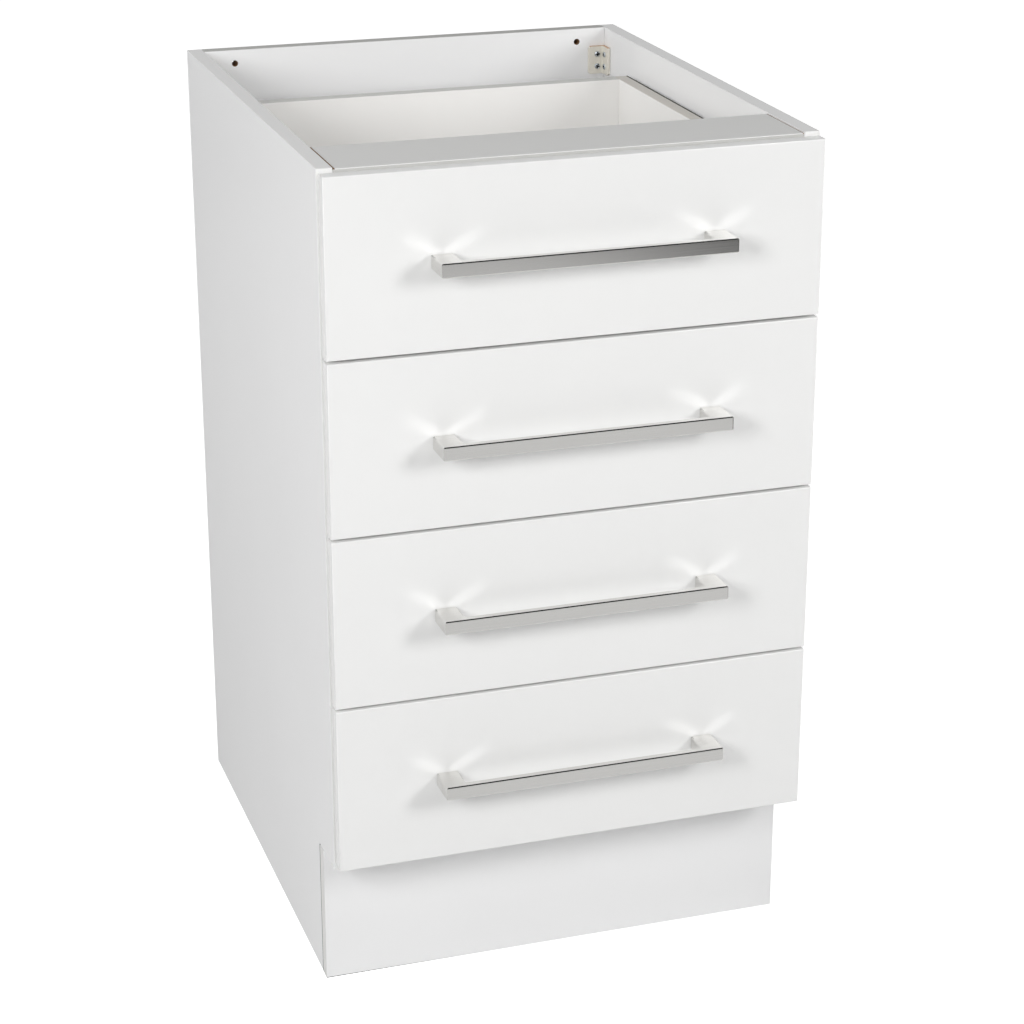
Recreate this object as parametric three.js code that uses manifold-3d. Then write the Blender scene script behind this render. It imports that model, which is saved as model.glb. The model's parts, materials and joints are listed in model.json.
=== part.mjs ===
// Kitchen base cabinet with four drawers, in millimetres.
// +X is to the right seen from the front, +Y goes towards the wall, +Z is up.
// The origin is on the floor, under the middle of the whole object's box.

import * as THREE from 'three';
import { mergeVertices } from 'three/addons/utils/BufferGeometryUtils.js';
import Module from 'manifold-3d';

const wasm = await Module();
wasm.setup();

// ---------- Driving dimensions ----------

// Carcass
const cabinetWidth = 500;
const cabinetDepth = 580;
const cabinetHeight = 870;
const boardThickness = 16;
const toeHeight = 150;
const toeSetback = 45;
const kickThickness = 16;
const kickTopGap = 1;
const kickRearGap = 1;
const railDepth = 90;
const railSetback = 1;
const railTopDrop = 1.5;
const wallHoleDiameter = 7;
const wallHoleDrop = 15;
const wallHoleInset = 34;

// Drawer fronts
const drawerCount = 4;
const frontThickness = 16;
const bumperGap = 2;
const frontGap = 3;
const frontTopReveal = 4;
const frontBottomReveal = 7;
const frontSideReveal = 1.5;
const frontEdgeRadius = 1.2;
const bumperDiameter = 8;
const bumperDrop = 12;

// Drawer boxes
const boxBoardThickness = 16;
const boxSideGap = 5;
const boxTopDrop = 34;
const bottomThickness = 8;
const bottomRecess = 13;
const grooveDepth = 8;

// Handles
const handleLength = 294;
const handleHeight = 14;
const handleProjection = 36;
const handleBarDepth = 8;
const handlePostWidth = 22;
const handleOuterRadius = 1.4;
const handleInnerRadius = 1.5;
const handleEdgeRadius = 0.8;
const handleScrewDiameter = 4;
const handleScrewDepth = 12;
const handleScrewHeadDiameter = 8;
const handleScrewHeadHeight = 2.4;
const handleScrewTipLength = 1;

// Concealed three-part drawer runners
const runnerFrontSetback = 3;
const runnerRearSpace = 81;
const runnerDrop = 12;
const runnerFloorGap = 2;
const cabinetRailSheet = 1.5;
const cabinetRailFlangeRise = 22;
const cabinetRailHatWidth = 9;
const midRailSheet = 1.2;
const midRailWidth = 16;
const midRailLip = 2.6;
const midRailLipHeight = -6.4;
const midRailFrontInset = 17;
const midRailRearInset = 43;
const drawerRailSheet = 1.2;
const drawerRailWidth = 26;
const drawerRailLip = 2.4;
const drawerRailLipHeight = -9;
const drawerRailSideGap = 0.8;
const drawerRailFrontInset = 2;
const railRunningGap = 0.4;
const railBendRadius = 1.5;
const hookWidth = 10;
const hookRise = 17;
const hookPinDiameter = 5;
const hookPinLength = 9;
const hookPinRise = 11;
const hookHoleClearance = 0.5;
const boxRearInset = 10;
const runnerScrewInset = 37;

// Locking clips, which hold the drawer box on the front ends of its rails
const clipLength = 44;
const clipWidth = 18;
const clipHeight = 9;
const clipLeverReach = 14;
const clipLeverWidth = 12;
const clipCornerRadius = 2;

// Angle brackets, in the top rear corners and behind the kickboard
const bracketLeg = 20;
const bracketThickness = 3;
const bracketHeight = 32;
const bracketCornerRadius = 3;
const bracketTopDrop = 20.5;
const kickBracketBase = 56;
const bracketScrewReach = 9.5;
const bracketScrewDrops = [9.2, 23.2];

// Chipboard screws, in the brackets and the runners
const screwDiameter = 3.5;
const screwLength = 13;
const screwHeadDiameter = 6.6;
const screwHeadHeight = 1.8;
const screwTipLength = 2.5;

// A pan head's profile, as shares of its radius and height: the straight rim, then the crown's shoulder
const panHeadRimHeight = 0.45;
const panHeadShoulderRadius = 0.72;
const panHeadShoulderHeight = 0.88;

// Wood dowels
const dowelDiameter = 8;
const dowelLength = 30;
const dowelSeat = 12;
const railDowelInset = 18;
const bottomDowelInset = 50;
const backDowelInset = 100;

// Fits
const seatGap = 0.3;

// ---------- Derived sizes ----------

const innerHalf = cabinetWidth / 2 - boardThickness;
const backFace = cabinetDepth - boardThickness;
const toeDepth = toeSetback + kickThickness;
const railTop = cabinetHeight - railTopDrop;
const railUnderside = railTop - boardThickness;
const frontReach = bumperGap + frontThickness + handleProjection;

const frontWidth = cabinetWidth - 2 * frontSideReveal;
const frontStack = cabinetHeight - frontTopReveal - toeHeight - frontBottomReveal;
const frontHeight = (frontStack - (drawerCount - 1) * frontGap) / drawerCount;
const frontPitch = frontHeight + frontGap;

// The box starts above its front's lower edge, clear of the runner and the bottom panel.
const boxRise = boardThickness - frontBottomReveal + runnerDrop + runnerFloorGap;
const boxHeight = frontHeight - boxTopDrop - boxRise;
const boxOuterHalf = innerHalf - boxSideGap;
const boxInnerHalf = boxOuterHalf - boxBoardThickness;
const runnerLength = cabinetDepth - boardThickness - runnerRearSpace - runnerFrontSetback;
const boxFrontFace = -bumperGap;
const boxRearFace = runnerFrontSetback + runnerLength - boxRearInset;

// Runner sections are drawn as (distance in from the cabinet side, height over the box's lower edge).
const drawerRailOuter = boxSideGap + boxBoardThickness + drawerRailSideGap;
const runnerCentre = drawerRailOuter + drawerRailWidth / 2;
const midRailTop = bottomRecess - drawerRailSheet - railRunningGap;
const cabinetRailTop = midRailTop - midRailSheet - railRunningGap;

const handleScrewSpacing = handleLength - handlePostWidth;
const handleScrewHeight = frontHeight / 2 - boxRise;

const boxLowerEdges = Array.from({ length: drawerCount }, (_, index) =>
  cabinetHeight - frontTopReveal - frontHeight - index * frontPitch + boxRise);

// ---------- Materials ----------

function finish(color, roughness, metalness = 0) {
  return new THREE.MeshStandardMaterial({ color, roughness, metalness });
}

const whiteBoard = finish(0xf0f0ee, 0.45);
const whiteFront = finish(0xf5f5f4, 0.25);
const drawerBoard = finish(0xe6e4df, 0.5);
const satinNickel = finish(0xb4b4b3, 0.3, 1);
const galvanisedSteel = finish(0xa4a7a9, 0.45, 1);
const ivoryPlastic = finish(0xe9e2d2, 0.5);

// ---------- Geometry helpers ----------

function merged(geometry) {
  const copy = geometry.clone();
  copy.deleteAttribute('normal');
  copy.deleteAttribute('uv');
  return mergeVertices(copy, 1e-4);
}

function toSolid(geometry) {
  const shared = merged(geometry);
  return new wasm.Manifold(new wasm.Mesh({
    numProp: 3,
    vertProperties: Float32Array.from(shared.attributes.position.array),
    triVerts: Uint32Array.from(shared.index.array),
  }));
}

function fromSolid(solid) {
  const mesh = solid.getMesh();
  const geometry = new THREE.BufferGeometry();
  geometry.setAttribute('position', new THREE.BufferAttribute(mesh.vertProperties, 3));
  geometry.setIndex(new THREE.BufferAttribute(mesh.triVerts, 1));
  return geometry;
}

function unite(geometries) {
  return geometries.map(toSolid).reduce((sum, solid) => sum.add(solid));
}

function cut(geometry, tools) {
  return fromSolid(toSolid(geometry).subtract(unite(tools)));
}

function join(geometries) {
  return fromSolid(unite(geometries));
}

// The same piece for the other side: reflected in X, with its triangles turned to face out again.
function mirrored(geometry) {
  const copy = merged(geometry);
  copy.scale(-1, 1, 1);
  const index = copy.index;
  for (let i = 0; i < index.count; i += 3) {
    const first = index.getX(i);
    index.setX(i, index.getX(i + 1));
    index.setX(i + 1, first);
  }
  return copy;
}

function box(x0, x1, y0, y1, z0, z1) {
  const geometry = new THREE.BoxGeometry(x1 - x0, y1 - y0, z1 - z0);
  return geometry.translate((x0 + x1) / 2, (y0 + y1) / 2, (z0 + z1) / 2);
}

function cylinderX(diameter, x0, x1, y, z, sides = 12) {
  const geometry = new THREE.CylinderGeometry(diameter / 2, diameter / 2, x1 - x0, sides);
  return geometry.rotateZ(-Math.PI / 2).translate((x0 + x1) / 2, y, z);
}

function cylinderY(diameter, y0, y1, x, z, sides = 12) {
  const geometry = new THREE.CylinderGeometry(diameter / 2, diameter / 2, y1 - y0, sides);
  return geometry.translate(x, (y0 + y1) / 2, z);
}

function outline(points) {
  return new THREE.Shape(points.map(([x, y]) => new THREE.Vector2(x, y)));
}

// An outline in the YZ plane, extruded along X from x0 to x1.
function prismX(shape, x0, x1) {
  const geometry = new THREE.ExtrudeGeometry(shape, { depth: x1 - x0, bevelEnabled: false });
  const turn = new THREE.Matrix4().makeBasis(
    new THREE.Vector3(0, 1, 0),
    new THREE.Vector3(0, 0, 1),
    new THREE.Vector3(1, 0, 0),
  );
  return geometry.applyMatrix4(turn).translate(x0, 0, 0);
}

// An outline in the XZ plane, extruded along Y from y0 to y1.
function prismY(shape, y0, y1) {
  const geometry = new THREE.ExtrudeGeometry(shape, { depth: y1 - y0, bevelEnabled: false });
  return geometry.rotateX(Math.PI / 2).translate(0, y1, 0);
}

// A line whose right-angled corners are turned on the rails' bend radius, in two steps each.
function withBends(line) {
  const corners = line.map(([x, y]) => new THREE.Vector2(x, y));
  const path = new THREE.Path([corners[0]]);
  corners.slice(1, -1).forEach((corner, index) => {
    const [start, end] = [corners[index], corners[index + 2]].map((neighbour) =>
      neighbour.clone().sub(corner).setLength(railBendRadius).add(corner));
    path.lineTo(start.x, start.y);
    path.quadraticCurveTo(corner.x, corner.y, end.x, end.y);
  });
  const last = corners.at(-1);
  path.lineTo(last.x, last.y);
  return path.getPoints(2);
}

// The outline of a bent sheet, from the middle line of its section.
function sheetSection(line, thickness) {
  const points = withBends(line);
  const normals = points.slice(1).map((point, index) => {
    const along = point.clone().sub(points[index]).normalize();
    return new THREE.Vector2(-along.y, along.x);
  });
  const offsets = points.map((_, index) => {
    const before = normals[Math.max(index - 1, 0)];
    const after = normals[Math.min(index, normals.length - 1)];
    const mitre = before.clone().add(after).divideScalar(1 + before.dot(after));
    return mitre.multiplyScalar(thickness / 2);
  });
  const left = points.map((point, index) => point.clone().add(offsets[index]));
  const right = points.map((point, index) => point.clone().sub(offsets[index]));
  return new THREE.Shape([...right, ...left.reverse()]);
}

// ---------- Object tree ----------

const cabinet = new THREE.Group();
cabinet.position.y = (frontReach - cabinetDepth) / 2;

function piece(parent, name, geometry, material) {
  const mesh = new THREE.Mesh(geometry, material);
  mesh.name = name;
  parent.add(mesh);
  return mesh;
}

// ---------- Screws ----------

// Facets round a screw and its bore
const screwSides = 8;

// A pan-head screw along Y: the head's seat is at y = 0 and the tip points to -Y.
function panHeadScrew(headDiameter, headHeight, diameter, length, tipLength) {
  const head = headDiameter / 2;
  const shank = diameter / 2;
  const profile = [
    [0, -length],
    [shank, -length + tipLength],
    [shank, 0],
    [head, 0],
    [head, headHeight * panHeadRimHeight],
    [head * panHeadShoulderRadius, headHeight * panHeadShoulderHeight],
    [0, headHeight],
  ];
  return new THREE.LatheGeometry(profile.map(([x, y]) => new THREE.Vector2(x, y)), screwSides);
}

const boardScrew = panHeadScrew(
  screwHeadDiameter, screwHeadHeight, screwDiameter, screwLength, screwTipLength);
const boardScrewBore = new THREE.CylinderGeometry(
  screwDiameter / 2 + seatGap, screwDiameter / 2 + seatGap, screwLength + seatGap, screwSides)
  .translate(0, -(screwLength + seatGap) / 2, 0);

// ---------- Angle brackets ----------

// Both legs start in the corner at the origin: one lies along +X, the other along +Y.
function bracketLegPlate() {
  const radius = bracketCornerRadius;
  const plate = new THREE.Shape();
  plate.moveTo(0, 0);
  plate.lineTo(bracketLeg - radius, 0);
  plate.absarc(bracketLeg - radius, radius, radius, -Math.PI / 2, 0);
  plate.lineTo(bracketLeg, bracketHeight - radius);
  plate.absarc(bracketLeg - radius, bracketHeight - radius, radius, 0, Math.PI / 2);
  plate.lineTo(0, bracketHeight);
  return plate;
}

// Screw places in the bracket's own frame, two to a leg.
const bracketScrewPlaces = bracketScrewDrops.flatMap((drop) => {
  const height = bracketHeight - drop;
  const alongX = new THREE.Matrix4().makeTranslation(bracketScrewReach, bracketThickness, height);
  const alongY = new THREE.Matrix4().makeTranslation(bracketThickness, bracketScrewReach, height)
    .multiply(new THREE.Matrix4().makeRotationZ(-Math.PI / 2));
  return [alongX, alongY];
});

function angleBracket() {
  const options = { depth: bracketThickness, bevelEnabled: false, curveSegments: 5 };
  const alongX = new THREE.ExtrudeGeometry(bracketLegPlate(), options)
    .rotateX(Math.PI / 2)
    .translate(0, bracketThickness, 0);
  const alongY = mirrored(alongX).rotateZ(-Math.PI / 2);
  const screws = bracketScrewPlaces.map((place) => boardScrew.clone().applyMatrix4(place));
  return join([alongX, alongY, ...screws]);
}

const cornerInset = innerHalf - seatGap;
const topBracketBase = cabinetHeight - bracketTopDrop - bracketHeight;
const bracketSites = [
  { name: 'left_corner_bracket', x: -cornerInset, y: backFace - seatGap, z: topBracketBase, turns: -1 },
  { name: 'right_corner_bracket', x: cornerInset, y: backFace - seatGap, z: topBracketBase, turns: 2 },
  { name: 'left_kick_bracket', x: -cornerInset, y: toeDepth + seatGap, z: kickBracketBase, turns: 0 },
  { name: 'right_kick_bracket', x: cornerInset, y: toeDepth + seatGap, z: kickBracketBase, turns: 1 },
];

const bracketScrewMatrices = bracketSites.flatMap(({ x, y, z, turns }) => {
  const place = new THREE.Matrix4().makeTranslation(x, y, z)
    .multiply(new THREE.Matrix4().makeRotationZ(turns * Math.PI / 2));
  return bracketScrewPlaces.map((screwPlace) => place.clone().multiply(screwPlace));
});

// ---------- Runner screws ----------

const runnerScrewLevel = cabinetRailFlangeRise / 2;
const runnerScrewDepths = [
  runnerFrontSetback + runnerScrewInset,
  runnerFrontSetback + runnerLength - runnerScrewInset,
];

// Screw places on the left rail's flange, in the drawer's own frame.
const runnerScrewPlaces = runnerScrewDepths.map((y) =>
  new THREE.Matrix4().makeTranslation(cabinetRailSheet, y, runnerScrewLevel)
    .multiply(new THREE.Matrix4().makeRotationZ(-Math.PI / 2)));

function runnerScrewBores(side) {
  return boxLowerEdges.flatMap((lowerEdge) => runnerScrewPlaces.map((place) => {
    const bore = boardScrewBore.clone().applyMatrix4(place).translate(-innerHalf, 0, lowerEdge);
    return side === 'left' ? bore : mirrored(bore);
  }));
}

// ---------- Dowels ----------

// Each dowel is glued in the board that lies between the sides and enters a blind hole in a side.
const railDowels = [railDowelInset, railDepth - railDowelInset]
  .map((depth) => [railSetback + depth, railTop - boardThickness / 2]);
const bottomDowels = [bottomDowelInset, backFace / 2, backFace - bottomDowelInset]
  .map((depth) => [depth, toeHeight + boardThickness / 2]);
const backDowels = [
  toeHeight + backDowelInset, (toeHeight + cabinetHeight) / 2, cabinetHeight - backDowelInset]
  .map((height) => [cabinetDepth - boardThickness / 2, height]);

function dowelPairs(places, diameter, reach) {
  const root = innerHalf + dowelSeat - dowelLength;
  const tip = innerHalf + reach;
  return places.flatMap(([y, z]) => [
    cylinderX(diameter, -tip, -root, y, z, 10),
    cylinderX(diameter, root, tip, y, z, 10),
  ]);
}

function dowelled(board, places) {
  return join([board, ...dowelPairs(places, dowelDiameter, dowelSeat)]);
}

// ---------- Carcass ----------

const screwBores = bracketScrewMatrices.map((matrix) => boardScrewBore.clone().applyMatrix4(matrix));
const dowelBores = dowelPairs(
  [...railDowels, ...bottomDowels, ...backDowels], dowelDiameter + 2 * seatGap, dowelSeat + seatGap);
const wallBores = [-1, 1].map((side) => cylinderY(
  wallHoleDiameter, backFace - 1, cabinetDepth + 1,
  side * (innerHalf - wallHoleInset), cabinetHeight - wallHoleDrop, 24));

const carcass = new THREE.Group();
cabinet.add(carcass);

const sideOutline = outline([
  [0, toeHeight],
  [toeDepth + kickRearGap, toeHeight],
  [toeDepth + kickRearGap, 0],
  [cabinetDepth, 0],
  [cabinetDepth, cabinetHeight],
  [0, cabinetHeight],
]);

function sidePanel(side) {
  const [x0, x1] = side === 'left' ? [-cabinetWidth / 2, -innerHalf] : [innerHalf, cabinetWidth / 2];
  return cut(prismX(sideOutline, x0, x1), [...screwBores, ...dowelBores, ...runnerScrewBores(side)]);
}

const bottomPanel = box(-innerHalf, innerHalf, 0, backFace, toeHeight, toeHeight + boardThickness);
const backPanel = cut(
  box(-innerHalf, innerHalf, backFace, cabinetDepth, toeHeight, cabinetHeight),
  [...screwBores, ...wallBores]);
const frontTopRail = box(
  -innerHalf, innerHalf, railSetback, railSetback + railDepth, railUnderside, railTop);
const kickboard = cut(
  box(-cabinetWidth / 2, cabinetWidth / 2, toeSetback, toeDepth, 0, toeHeight - kickTopGap),
  screwBores);

piece(carcass, 'left_side_panel', sidePanel('left'), whiteBoard);
piece(carcass, 'right_side_panel', sidePanel('right'), whiteBoard);
piece(carcass, 'bottom_panel', dowelled(bottomPanel, bottomDowels), whiteBoard);
piece(carcass, 'back_panel', dowelled(backPanel, backDowels), whiteBoard);
piece(carcass, 'front_top_rail', dowelled(frontTopRail, railDowels), whiteBoard);
piece(carcass, 'kickboard', kickboard, whiteBoard);

const bracketGeometry = angleBracket();
for (const site of bracketSites) {
  const bracket = piece(carcass, site.name, bracketGeometry, ivoryPlastic);
  bracket.position.set(site.x, site.y, site.z);
  bracket.rotation.z = site.turns * Math.PI / 2;
}

// ---------- Runners ----------

// The fixed rail: a flange screwed to the cabinet side, a shelf under the drawer side and a raised hat.
function cabinetRail() {
  const half = cabinetRailSheet / 2;
  const shelf = -runnerDrop + half;
  const hatLeft = runnerCentre - cabinetRailHatWidth / 2 + half;
  const hatRight = runnerCentre + cabinetRailHatWidth / 2 - half;
  const section = sheetSection([
    [half, cabinetRailFlangeRise],
    [half, shelf],
    [hatLeft, shelf],
    [hatLeft, cabinetRailTop - half],
    [hatRight, cabinetRailTop - half],
    [hatRight, shelf - half],
  ], cabinetRailSheet);
  const body = prismY(section, runnerFrontSetback, runnerFrontSetback + runnerLength);
  const screws = runnerScrewPlaces.map((place) => boardScrew.clone().applyMatrix4(place));
  return join([body, ...screws]);
}

// The middle rail: an inverted channel over the hat, with a lip along each foot.
function midRail() {
  const half = midRailSheet / 2;
  const left = runnerCentre - midRailWidth / 2 + half;
  const right = runnerCentre + midRailWidth / 2 - half;
  const foot = midRailLipHeight + half;
  const section = sheetSection([
    [left - half - midRailLip, foot],
    [left, foot],
    [left, midRailTop - half],
    [right, midRailTop - half],
    [right, foot],
    [right + half + midRailLip, foot],
  ], midRailSheet);
  const front = runnerFrontSetback + midRailFrontInset;
  return prismY(section, front, runnerFrontSetback + runnerLength - midRailRearInset);
}

// The clip beside the drawer rail's front end: a body under the drawer bottom, and a lever for a finger.
function lockingClip() {
  const radius = clipCornerRadius;
  const root = drawerRailOuter + drawerRailWidth - drawerRailSheet;
  const edge = drawerRailOuter + drawerRailWidth + clipWidth;
  const tip = edge + clipLeverReach;
  const front = boxFrontFace + seatGap;
  const rear = front + clipLength;
  const plan = new THREE.Shape();
  plan.moveTo(root, front);
  plan.lineTo(tip - radius, front);
  plan.absarc(tip - radius, front + radius, radius, -Math.PI / 2, 0);
  plan.lineTo(tip, front + clipLeverWidth - radius);
  plan.absarc(tip - radius, front + clipLeverWidth - radius, radius, 0, Math.PI / 2);
  plan.lineTo(edge, front + clipLeverWidth);
  plan.lineTo(edge, rear - radius);
  plan.absarc(edge - radius, rear - radius, radius, 0, Math.PI / 2);
  plan.lineTo(root, rear);
  const clip = new THREE.ExtrudeGeometry(plan, { depth: clipHeight, bevelEnabled: false, curveSegments: 3 });
  return clip.translate(0, 0, bottomRecess - seatGap - clipHeight);
}

// The rail under the drawer: an inverted channel whose lips turn in under the middle rail's.
// Its rear hook stands up behind the drawer back, and the hook's pin enters the back.
function drawerRail() {
  const half = drawerRailSheet / 2;
  const left = drawerRailOuter + half;
  const right = drawerRailOuter + drawerRailWidth - half;
  const foot = drawerRailLipHeight + half;
  const section = sheetSection([
    [left + half + drawerRailLip, foot],
    [left, foot],
    [left, bottomRecess - half],
    [right, bottomRecess - half],
    [right, foot],
    [right - half - drawerRailLip, foot],
  ], drawerRailSheet);
  const hookFace = boxRearFace + seatGap;
  const hookBack = hookFace + drawerRailSheet;
  const body = prismY(section, boxFrontFace + drawerRailFrontInset, hookBack);
  const hook = box(
    runnerCentre - hookWidth / 2, runnerCentre + hookWidth / 2,
    hookFace, hookBack,
    bottomRecess - drawerRailSheet, bottomRecess + hookRise);
  const pin = cylinderY(
    hookPinDiameter, hookBack - hookPinLength, hookBack,
    runnerCentre, bottomRecess + hookPinRise);
  return join([body, hook, pin, lockingClip()]);
}

const railGeometries = {
  cabinet: cabinetRail(),
  mid: midRail(),
  drawer: drawerRail(),
};

// Sections are drawn for the left side; the right side has their reflection.
function forSide(geometry, side) {
  const left = geometry.clone().translate(-innerHalf, 0, 0);
  return side === 'left' ? left : mirrored(left);
}

// ---------- Drawers ----------

const grooveFloor = bottomRecess - seatGap;
const grooveCeiling = bottomRecess + bottomThickness + seatGap;
const bottomOverlap = grooveDepth - seatGap;

// A board with rounded edges, a groove for the drawer bottom and the handle's screw holes.
// Two soft bumpers on its back meet the cabinet sides' front edges.
function drawerFront() {
  const radius = frontEdgeRadius;
  const lower = -boxRise;
  const shape = outline([
    [-frontWidth / 2, lower],
    [frontWidth / 2, lower],
    [frontWidth / 2, lower + frontHeight],
    [-frontWidth / 2, lower + frontHeight],
  ]);
  const board = new THREE.ExtrudeGeometry(shape, {
    depth: frontThickness - 2 * radius,
    bevelThickness: radius,
    bevelSize: radius,
    bevelOffset: -radius,
    bevelSegments: 3,
  });
  board.rotateX(Math.PI / 2).translate(0, boxFrontFace - radius, 0);
  const groove = box(
    -boxInnerHalf - grooveDepth, boxInnerHalf + grooveDepth,
    boxFrontFace - grooveDepth, boxFrontFace + 1,
    grooveFloor, grooveCeiling);
  const holes = [-1, 1].map((side) => cylinderY(
    handleScrewDiameter + 2 * seatGap, boxFrontFace - frontThickness - 1, boxFrontFace + 1,
    side * handleScrewSpacing / 2, handleScrewHeight));
  const bumpers = [-1, 1].map((side) => cylinderY(
    bumperDiameter, boxFrontFace - 1, boxFrontFace + bumperGap - seatGap,
    side * (cabinetWidth - boardThickness) / 2, lower + frontHeight - bumperDrop));
  return join([cut(board, [groove, ...holes]), ...bumpers]);
}

// The left side's section has its groove on the inner face.
function drawerSide() {
  const section = outline([
    [-boxOuterHalf, 0],
    [-boxInnerHalf, 0],
    [-boxInnerHalf, grooveFloor],
    [-boxInnerHalf - grooveDepth, grooveFloor],
    [-boxInnerHalf - grooveDepth, grooveCeiling],
    [-boxInnerHalf, grooveCeiling],
    [-boxInnerHalf, boxHeight],
    [-boxOuterHalf, boxHeight],
  ]);
  return prismY(section, boxFrontFace, boxRearFace);
}

// The back stands between the sides; its lower corners are notched to let the runners through.
function drawerBack() {
  const notchEdge = innerHalf - drawerRailOuter - drawerRailWidth - drawerRailSideGap;
  const notchTop = bottomRecess + seatGap;
  const shape = outline([
    [-notchEdge, 0],
    [notchEdge, 0],
    [notchEdge, notchTop],
    [boxInnerHalf, notchTop],
    [boxInnerHalf, boxHeight],
    [-boxInnerHalf, boxHeight],
    [-boxInnerHalf, notchTop],
    [-notchEdge, notchTop],
  ]);
  const frontFace = boxRearFace - boxBoardThickness;
  const board = prismY(shape, frontFace, boxRearFace);
  const groove = box(
    -boxInnerHalf - 1, boxInnerHalf + 1,
    frontFace - 1, frontFace + grooveDepth,
    grooveFloor, grooveCeiling);
  const hookHoles = [-1, 1].map((side) => cylinderY(
    hookPinDiameter + 2 * hookHoleClearance,
    boxRearFace + seatGap - hookPinLength, boxRearFace + 1,
    side * (innerHalf - runnerCentre), bottomRecess + hookPinRise));
  return cut(board, [groove, ...hookHoles]);
}

function drawerBottom() {
  return box(
    -boxInnerHalf - bottomOverlap, boxInnerHalf + bottomOverlap,
    boxFrontFace - bottomOverlap, boxRearFace - boxBoardThickness + bottomOverlap,
    bottomRecess, bottomRecess + bottomThickness);
}

// A flat bar with a post at each end, drawn from above and raised to its height.
// Its two screws come through the drawer front and enter the posts.
const handleScrew = panHeadScrew(
  handleScrewHeadDiameter, handleScrewHeadHeight, handleScrewDiameter,
  frontThickness + handleScrewDepth, handleScrewTipLength);

function barHandle() {
  const half = handleLength / 2;
  const inner = half - handlePostWidth;
  const bar = handleProjection - handleBarDepth;
  const outerRadius = handleOuterRadius;
  const innerRadius = handleInnerRadius;
  const shape = new THREE.Shape();
  shape.moveTo(-half, 0);
  shape.lineTo(-half, -handleProjection + outerRadius);
  shape.absarc(-half + outerRadius, -handleProjection + outerRadius, outerRadius, Math.PI, 1.5 * Math.PI);
  shape.lineTo(half - outerRadius, -handleProjection);
  shape.absarc(half - outerRadius, -handleProjection + outerRadius, outerRadius, -Math.PI / 2, 0);
  shape.lineTo(half, 0);
  shape.lineTo(inner, 0);
  shape.lineTo(inner, -bar + innerRadius);
  shape.absarc(inner - innerRadius, -bar + innerRadius, innerRadius, 0, -Math.PI / 2, true);
  shape.lineTo(-inner + innerRadius, -bar);
  shape.absarc(-inner + innerRadius, -bar + innerRadius, innerRadius, -Math.PI / 2, -Math.PI, true);
  shape.lineTo(-inner, 0);
  const radius = handleEdgeRadius;
  const bridge = new THREE.ExtrudeGeometry(shape, {
    depth: handleHeight - 2 * radius,
    bevelThickness: radius,
    bevelSize: radius,
    bevelOffset: -radius,
    bevelSegments: 2,
    curveSegments: 4,
  });
  bridge.translate(0, 0, -handleHeight / 2 + radius);
  const screws = [-1, 1].map((side) => handleScrew.clone()
    .translate(side * handleScrewSpacing / 2, frontThickness + seatGap / 2, 0));
  return join([bridge, ...screws]);
}

const drawerPieces = {
  front: drawerFront(),
  side: drawerSide(),
  back: drawerBack(),
  bottom: drawerBottom(),
  handle: barHandle(),
};

boxLowerEdges.forEach((lowerEdge, index) => {
  const name = `drawer_${index + 1}`;
  const drawer = new THREE.Group();
  drawer.position.z = lowerEdge;
  cabinet.add(drawer);

  piece(drawer, `${name}_front`, drawerPieces.front, whiteFront);
  piece(drawer, `${name}_left_side`, drawerPieces.side, drawerBoard);
  piece(drawer, `${name}_right_side`, mirrored(drawerPieces.side), drawerBoard);
  piece(drawer, `${name}_back`, drawerPieces.back, drawerBoard);
  piece(drawer, `${name}_bottom`, drawerPieces.bottom, drawerBoard);

  const handle = piece(drawer, `${name}_handle`, drawerPieces.handle, satinNickel);
  handle.position.set(0, boxFrontFace - frontThickness, handleScrewHeight);

  for (const side of ['left', 'right']) {
    piece(drawer, `${name}_${side}_cabinet_rail`, forSide(railGeometries.cabinet, side), galvanisedSteel);
    piece(drawer, `${name}_${side}_rail`, forSide(railGeometries.drawer, side), galvanisedSteel);
    piece(drawer, `${name}_${side}_mid_rail`, forSide(railGeometries.mid, side), galvanisedSteel);
  }
});

export default cabinet;
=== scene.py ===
# White kitchen base cabinet with four drawers, in a white studio.
# Lengths are in metres, and mm() turns millimetres into them. Angles are in radians.

import json
import math

import bmesh
import bpy
from mathutils import Matrix, Vector

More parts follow.
